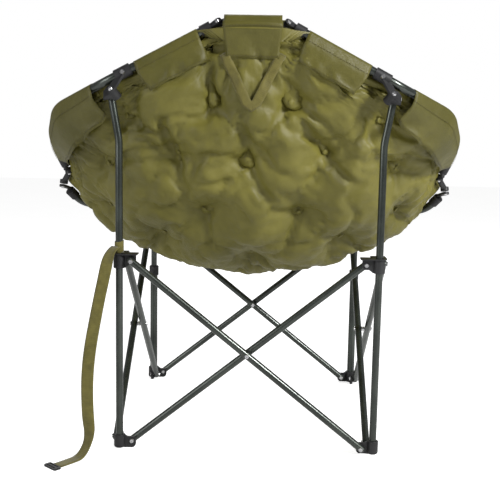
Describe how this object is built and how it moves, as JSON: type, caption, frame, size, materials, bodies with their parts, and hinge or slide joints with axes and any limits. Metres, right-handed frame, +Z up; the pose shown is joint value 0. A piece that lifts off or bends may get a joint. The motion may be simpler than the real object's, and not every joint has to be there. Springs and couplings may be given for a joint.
{
  "type": "folding saucer chair",
  "caption": "Folding chair with a padded saucer seat hung in a hinged tube ring, on a base of crossed tubes that folds with sliding collars on its legs.",
  "frame": {"origin": "on the floor, under the middle of the chair's overall width and depth", "axes": "+Z up; the sitter faces -Y, so the back is at +Y and the sitter's left is at +X"},
  "size_m": [0.9142, 0.8013, 0.8898],
  "materials": {
    "tube": "gloss",
    "rivet": "gloss",
    "plastic": "satin",
    "cloth": "satin",
    "webbing": "matte"
  },
  "bodies": {
    "rear_left_leg": {"rear_left_leg": "tube", "rear_left_foot": "plastic"},
    "rear_inner_cross": {"rear_inner_tube": "tube", "rear_inner_rivets": "rivet"},
    "rear_outer_cross": {"rear_outer_tube": "tube", "rear_outer_rivets": "rivet"},
    "rear_right_leg": {"rear_right_leg": "tube", "rear_right_foot": "plastic"},
    "rear_left_collar": {"rear_left_collar": "plastic", "carry_strap": "webbing", "strap_buckle": "plastic"},
    "rear_right_collar": {"rear_right_collar": "plastic"},
    "left_outer_cross": {"left_outer_tube": "tube", "left_outer_rivets": "rivet"},
    "left_inner_cross": {"left_inner_tube": "tube", "left_inner_rivets": "rivet"},
    "front_left_leg": {"front_left_foot": "plastic", "front_left_outer_tube": "tube", "front_left_cap": "plastic"},
    "front_left_collar": {"front_left_collar": "plastic"},
    "front_left_slider": {"front_left_inner_tube": "tube"},
    "right_inner_cross": {"right_inner_tube": "tube", "right_inner_rivets": "rivet"},
    "right_outer_cross": {"right_outer_tube": "tube", "right_outer_rivets": "rivet"},
    "front_right_leg": {"front_right_foot": "plastic", "front_right_outer_tube": "tube", "front_right_cap": "plastic"},
    "front_right_collar": {"front_right_collar": "plastic"},
    "front_right_slider": {"front_right_inner_tube": "tube"},
    "front_outer_cross": {"front_outer_tube": "tube", "front_outer_rivets": "rivet"},
    "front_inner_cross": {"front_inner_tube": "tube", "front_inner_rivets": "rivet"},
    "rear_left_block": {"rear_left_block": "plastic"},
    "rear_left_ring": {"rear_left_ring_tube": "tube", "rear_left_ring_fittings": "plastic", "rear_left_ring_rivets": "rivet", "rear_left_sleeves": "cloth"},
    "side_left_link": {"side_left_link": "plastic"},
    "front_left_block": {"front_left_block": "plastic"},
    "front_left_ring": {"front_left_ring_tube": "tube", "front_left_ring_fittings": "plastic", "front_left_ring_rivets": "rivet"},
    "rear_right_block": {"rear_right_block": "plastic"},
    "rear_right_ring": {"rear_right_ring_tube": "tube", "rear_right_ring_fittings": "plastic", "rear_right_ring_rivets": "rivet", "rear_right_sleeves": "cloth"},
    "side_right_link": {"side_right_link": "plastic"},
    "front_right_block": {"front_right_block": "plastic"},
    "front_right_ring": {"front_right_ring_tube": "tube", "front_right_ring_fittings": "plastic", "front_right_ring_rivets": "rivet"},
    "back_bar": {"back_bar": "tube", "back_sleeve": "cloth", "saucer": "cloth", "carry_handle": "webbing"},
    "front_bar": {"front_bar": "tube", "front_sleeve": "cloth"}
  },
  "joints": [
    {"name": "fold", "type": "hinge", "parent": "rear_left_leg", "child": "rear_inner_cross", "pos_m": [0.239, 0.31336, 0.014], "axis": [0, 1, 0], "range_deg": [0, 34.01], "deforming": ["saucer"]},
    {"name": "rear_outer_cross_pivot", "type": "hinge", "parent": "rear_inner_cross", "child": "rear_outer_cross", "pos_m": [0, 0.31336, 0.2055], "axis": [0, 1, 0], "range_deg": [-68.01, 0]},
    {"name": "rear_right_leg_pivot", "type": "hinge", "parent": "rear_outer_cross", "child": "rear_right_leg", "pos_m": [-0.239, 0.31336, 0.014], "axis": [0, 1, 0], "range_deg": [0, 34.01]},
    {"name": "rear_left_collar_pivot", "type": "hinge", "parent": "rear_outer_cross", "child": "rear_left_collar", "pos_m": [0.239, 0.31336, 0.397], "axis": [0, 1, 0], "range_deg": [0, 34.01]},
    {"name": "rear_right_collar_pivot", "type": "hinge", "parent": "rear_inner_cross", "child": "rear_right_collar", "pos_m": [-0.239, 0.31336, 0.397], "axis": [0, 1, 0], "range_deg": [-34.01, 0]},
    {"name": "left_outer_cross_pivot", "type": "hinge", "parent": "rear_left_leg", "child": "left_outer_cross", "pos_m": [0.265, 0.28736, 0.014], "axis": [1, 0, 0], "range_deg": [-34.01, 0]},
    {"name": "left_inner_cross_pivot", "type": "hinge", "parent": "left_outer_cross", "child": "left_inner_cross", "pos_m": [0.265, 0.04836, 0.2055], "axis": [1, 0, 0], "range_deg": [0, 68.01]},
    {"name": "front_left_leg_pivot", "type": "hinge", "parent": "left_inner_cross", "child": "front_left_leg", "pos_m": [0.265, -0.19064, 0.014], "axis": [1, 0, 0], "range_deg": [-34.01, 0]},
    {"name": "front_left_collar_pivot", "type": "hinge", "parent": "left_outer_cross", "child": "front_left_collar", "pos_m": [0.265, -0.19064, 0.397], "axis": [1, 0, 0], "range_deg": [0, 34.01]},
    {"name": "front_left_slider_slide", "type": "slide", "parent": "front_left_leg", "child": "front_left_slider", "axis": [0, 0, 1], "range_m": [0, 0.2179]},
    {"name": "right_inner_cross_pivot", "type": "hinge", "parent": "rear_right_leg", "child": "right_inner_cross", "pos_m": [-0.265, 0.28736, 0.014], "axis": [1, 0, 0], "range_deg": [-34.01, 0]},
    {"name": "right_outer_cross_pivot", "type": "hinge", "parent": "right_inner_cross", "child": "right_outer_cross", "pos_m": [-0.265, 0.04836, 0.2055], "axis": [1, 0, 0], "range_deg": [0, 68.01]},
    {"name": "front_right_leg_pivot", "type": "hinge", "parent": "right_outer_cross", "child": "front_right_leg", "pos_m": [-0.265, -0.19064, 0.014], "axis": [1, 0, 0], "range_deg": [-34.01, 0]},
    {"name": "front_right_collar_pivot", "type": "hinge", "parent": "right_inner_cross", "child": "front_right_collar", "pos_m": [-0.265, -0.19064, 0.397], "axis": [1, 0, 0], "range_deg": [0, 34.01]},
    {"name": "front_right_slider_slide", "type": "slide", "parent": "front_right_leg", "child": "front_right_slider", "axis": [0, 0, 1], "range_m": [0, 0.2179]},
    {"name": "front_outer_cross_pivot", "type": "hinge", "parent": "front_left_leg", "child": "front_outer_cross", "pos_m": [0.239, -0.21664, 0.014], "axis": [0, 1, 0], "range_deg": [0, 34.01]},
    {"name": "front_inner_cross_pivot", "type": "hinge", "parent": "front_outer_cross", "child": "front_inner_cross", "pos_m": [0, -0.21664, 0.2055], "axis": [0, 1, 0], "range_deg": [-68.01, 0]},
    {"name": "rear_left_block_pivot", "type": "hinge", "parent": "rear_left_leg", "child": "rear_left_block", "pos_m": [0.281, 0.31336, 0.731], "axis": [1, 0, 0], "range_deg": [-7.81, 0]},
    {"name": "rear_left_ring_pivot", "type": "hinge", "parent": "rear_left_block", "child": "rear_left_ring", "pos_m": [0.284, 0.34836, 0.749], "axis": [0.464, 0.6272, 0.6256], "range_deg": [0, 51.77]},
    {"name": "side_left_link_pivot", "type": "hinge", "parent": "rear_left_ring", "child": "side_left_link", "pos_m": [0.4256, 0.05806, 0.5652], "axis": [0.2, -0.1493, 0.9684], "range_deg": [0, 100.25]},
    {"name": "front_left_block_pivot", "type": "hinge", "parent": "front_left_slider", "child": "front_left_block", "pos_m": [0.265, -0.21664, 0.437], "axis": [1, 0, 0], "range_deg": [-34.94, 0]},
    {"name": "front_left_ring_pivot", "type": "hinge", "parent": "front_left_block", "child": "front_left_ring", "pos_m": [0.236, -0.18664, 0.445], "axis": [0.3153, 0.9462, 0.0726], "range_deg": [0, 98.3]},
    {"name": "rear_right_block_pivot", "type": "hinge", "parent": "rear_right_leg", "child": "rear_right_block", "pos_m": [-0.281, 0.31336, 0.731], "axis": [1, 0, 0], "range_deg": [-7.81, 0]},
    {"name": "rear_right_ring_pivot", "type": "hinge", "parent": "rear_right_block", "child": "rear_right_ring", "pos_m": [-0.284, 0.34836, 0.749], "axis": [0.464, -0.6272, -0.6256], "range_deg": [0, 51.77]},
    {"name": "side_right_link_pivot", "type": "hinge", "parent": "rear_right_ring", "child": "side_right_link", "pos_m": [-0.4256, 0.05806, 0.5652], "axis": [0.2, 0.1493, -0.9684], "range_deg": [0, 100.25]},
    {"name": "front_right_block_pivot", "type": "hinge", "parent": "front_right_slider", "child": "front_right_block", "pos_m": [-0.265, -0.21664, 0.437], "axis": [1, 0, 0], "range_deg": [-34.94, 0]},
    {"name": "front_right_ring_pivot", "type": "hinge", "parent": "front_right_block", "child": "front_right_ring", "pos_m": [-0.236, -0.18664, 0.445], "axis": [0.3153, -0.9462, -0.0726], "range_deg": [0, 98.3]},
    {"name": "back_bar_pivot", "type": "hinge", "parent": "rear_left_ring", "child": "back_bar", "pos_m": [0.06892, 0.31336, 0.87255], "axis": [0.464, 0.6272, 0.6256], "range_deg": [-51.77, 0]},
    {"name": "front_bar_pivot", "type": "hinge", "parent": "front_left_ring", "child": "front_bar", "pos_m": [0.09443, -0.32972, 0.485], "axis": [0.3153, 0.9462, 0.0726], "range_deg": [-98.3, 0]}
  ],
  "couplings": [
    {"joint": "rear_outer_cross_pivot", "follows": "fold", "ratio": -2},
    {"joint": "rear_right_leg_pivot", "follows": "fold", "ratio": 1},
    {"joint": "rear_left_collar_pivot", "follows": "fold", "ratio": 1},
    {"joint": "rear_right_collar_pivot", "follows": "fold", "ratio": -1},
    {"joint": "left_outer_cross_pivot", "follows": "fold", "ratio": -1},
    {"joint": "left_inner_cross_pivot", "follows": "fold", "ratio": 2},
    {"joint": "front_left_leg_pivot", "follows": "fold", "ratio": -1},
    {"joint": "front_left_collar_pivot", "follows": "fold", "ratio": 1},
    {"joint": "front_left_slider_slide", "follows": "fold", "m_per_rad": 0.36703},
    {"joint": "right_inner_cross_pivot", "follows": "fold", "ratio": -1},
    {"joint": "right_outer_cross_pivot", "follows": "fold", "ratio": 2},
    {"joint": "front_right_leg_pivot", "follows": "fold", "ratio": -1},
    {"joint": "front_right_collar_pivot", "follows": "fold", "ratio": 1},
    {"joint": "front_right_slider_slide", "follows": "fold", "m_per_rad": 0.36703},
    {"joint": "front_outer_cross_pivot", "follows": "fold", "ratio": 1},
    {"joint": "front_inner_cross_pivot", "follows": "fold", "ratio": -2},
    {"joint": "rear_left_block_pivot", "follows": "fold", "ratio": -0.22949},
    {"joint": "rear_left_ring_pivot", "follows": "fold", "ratio": 1.5223},
    {"joint": "side_left_link_pivot", "follows": "fold", "ratio": 2.9483},
    {"joint": "front_left_block_pivot", "follows": "fold", "ratio": -1.0274},
    {"joint": "front_left_ring_pivot", "follows": "fold", "ratio": 2.891},
    {"joint": "rear_right_block_pivot", "follows": "fold", "ratio": -0.22949},
    {"joint": "rear_right_ring_pivot", "follows": "fold", "ratio": 1.5223},
    {"joint": "side_right_link_pivot", "follows": "fold", "ratio": 2.9483},
    {"joint": "front_right_block_pivot", "follows": "fold", "ratio": -1.0274},
    {"joint": "front_right_ring_pivot", "follows": "fold", "ratio": 2.891},
    {"joint": "back_bar_pivot", "follows": "fold", "ratio": -1.5223},
    {"joint": "front_bar_pivot", "follows": "fold", "ratio": -2.891}
  ]
}
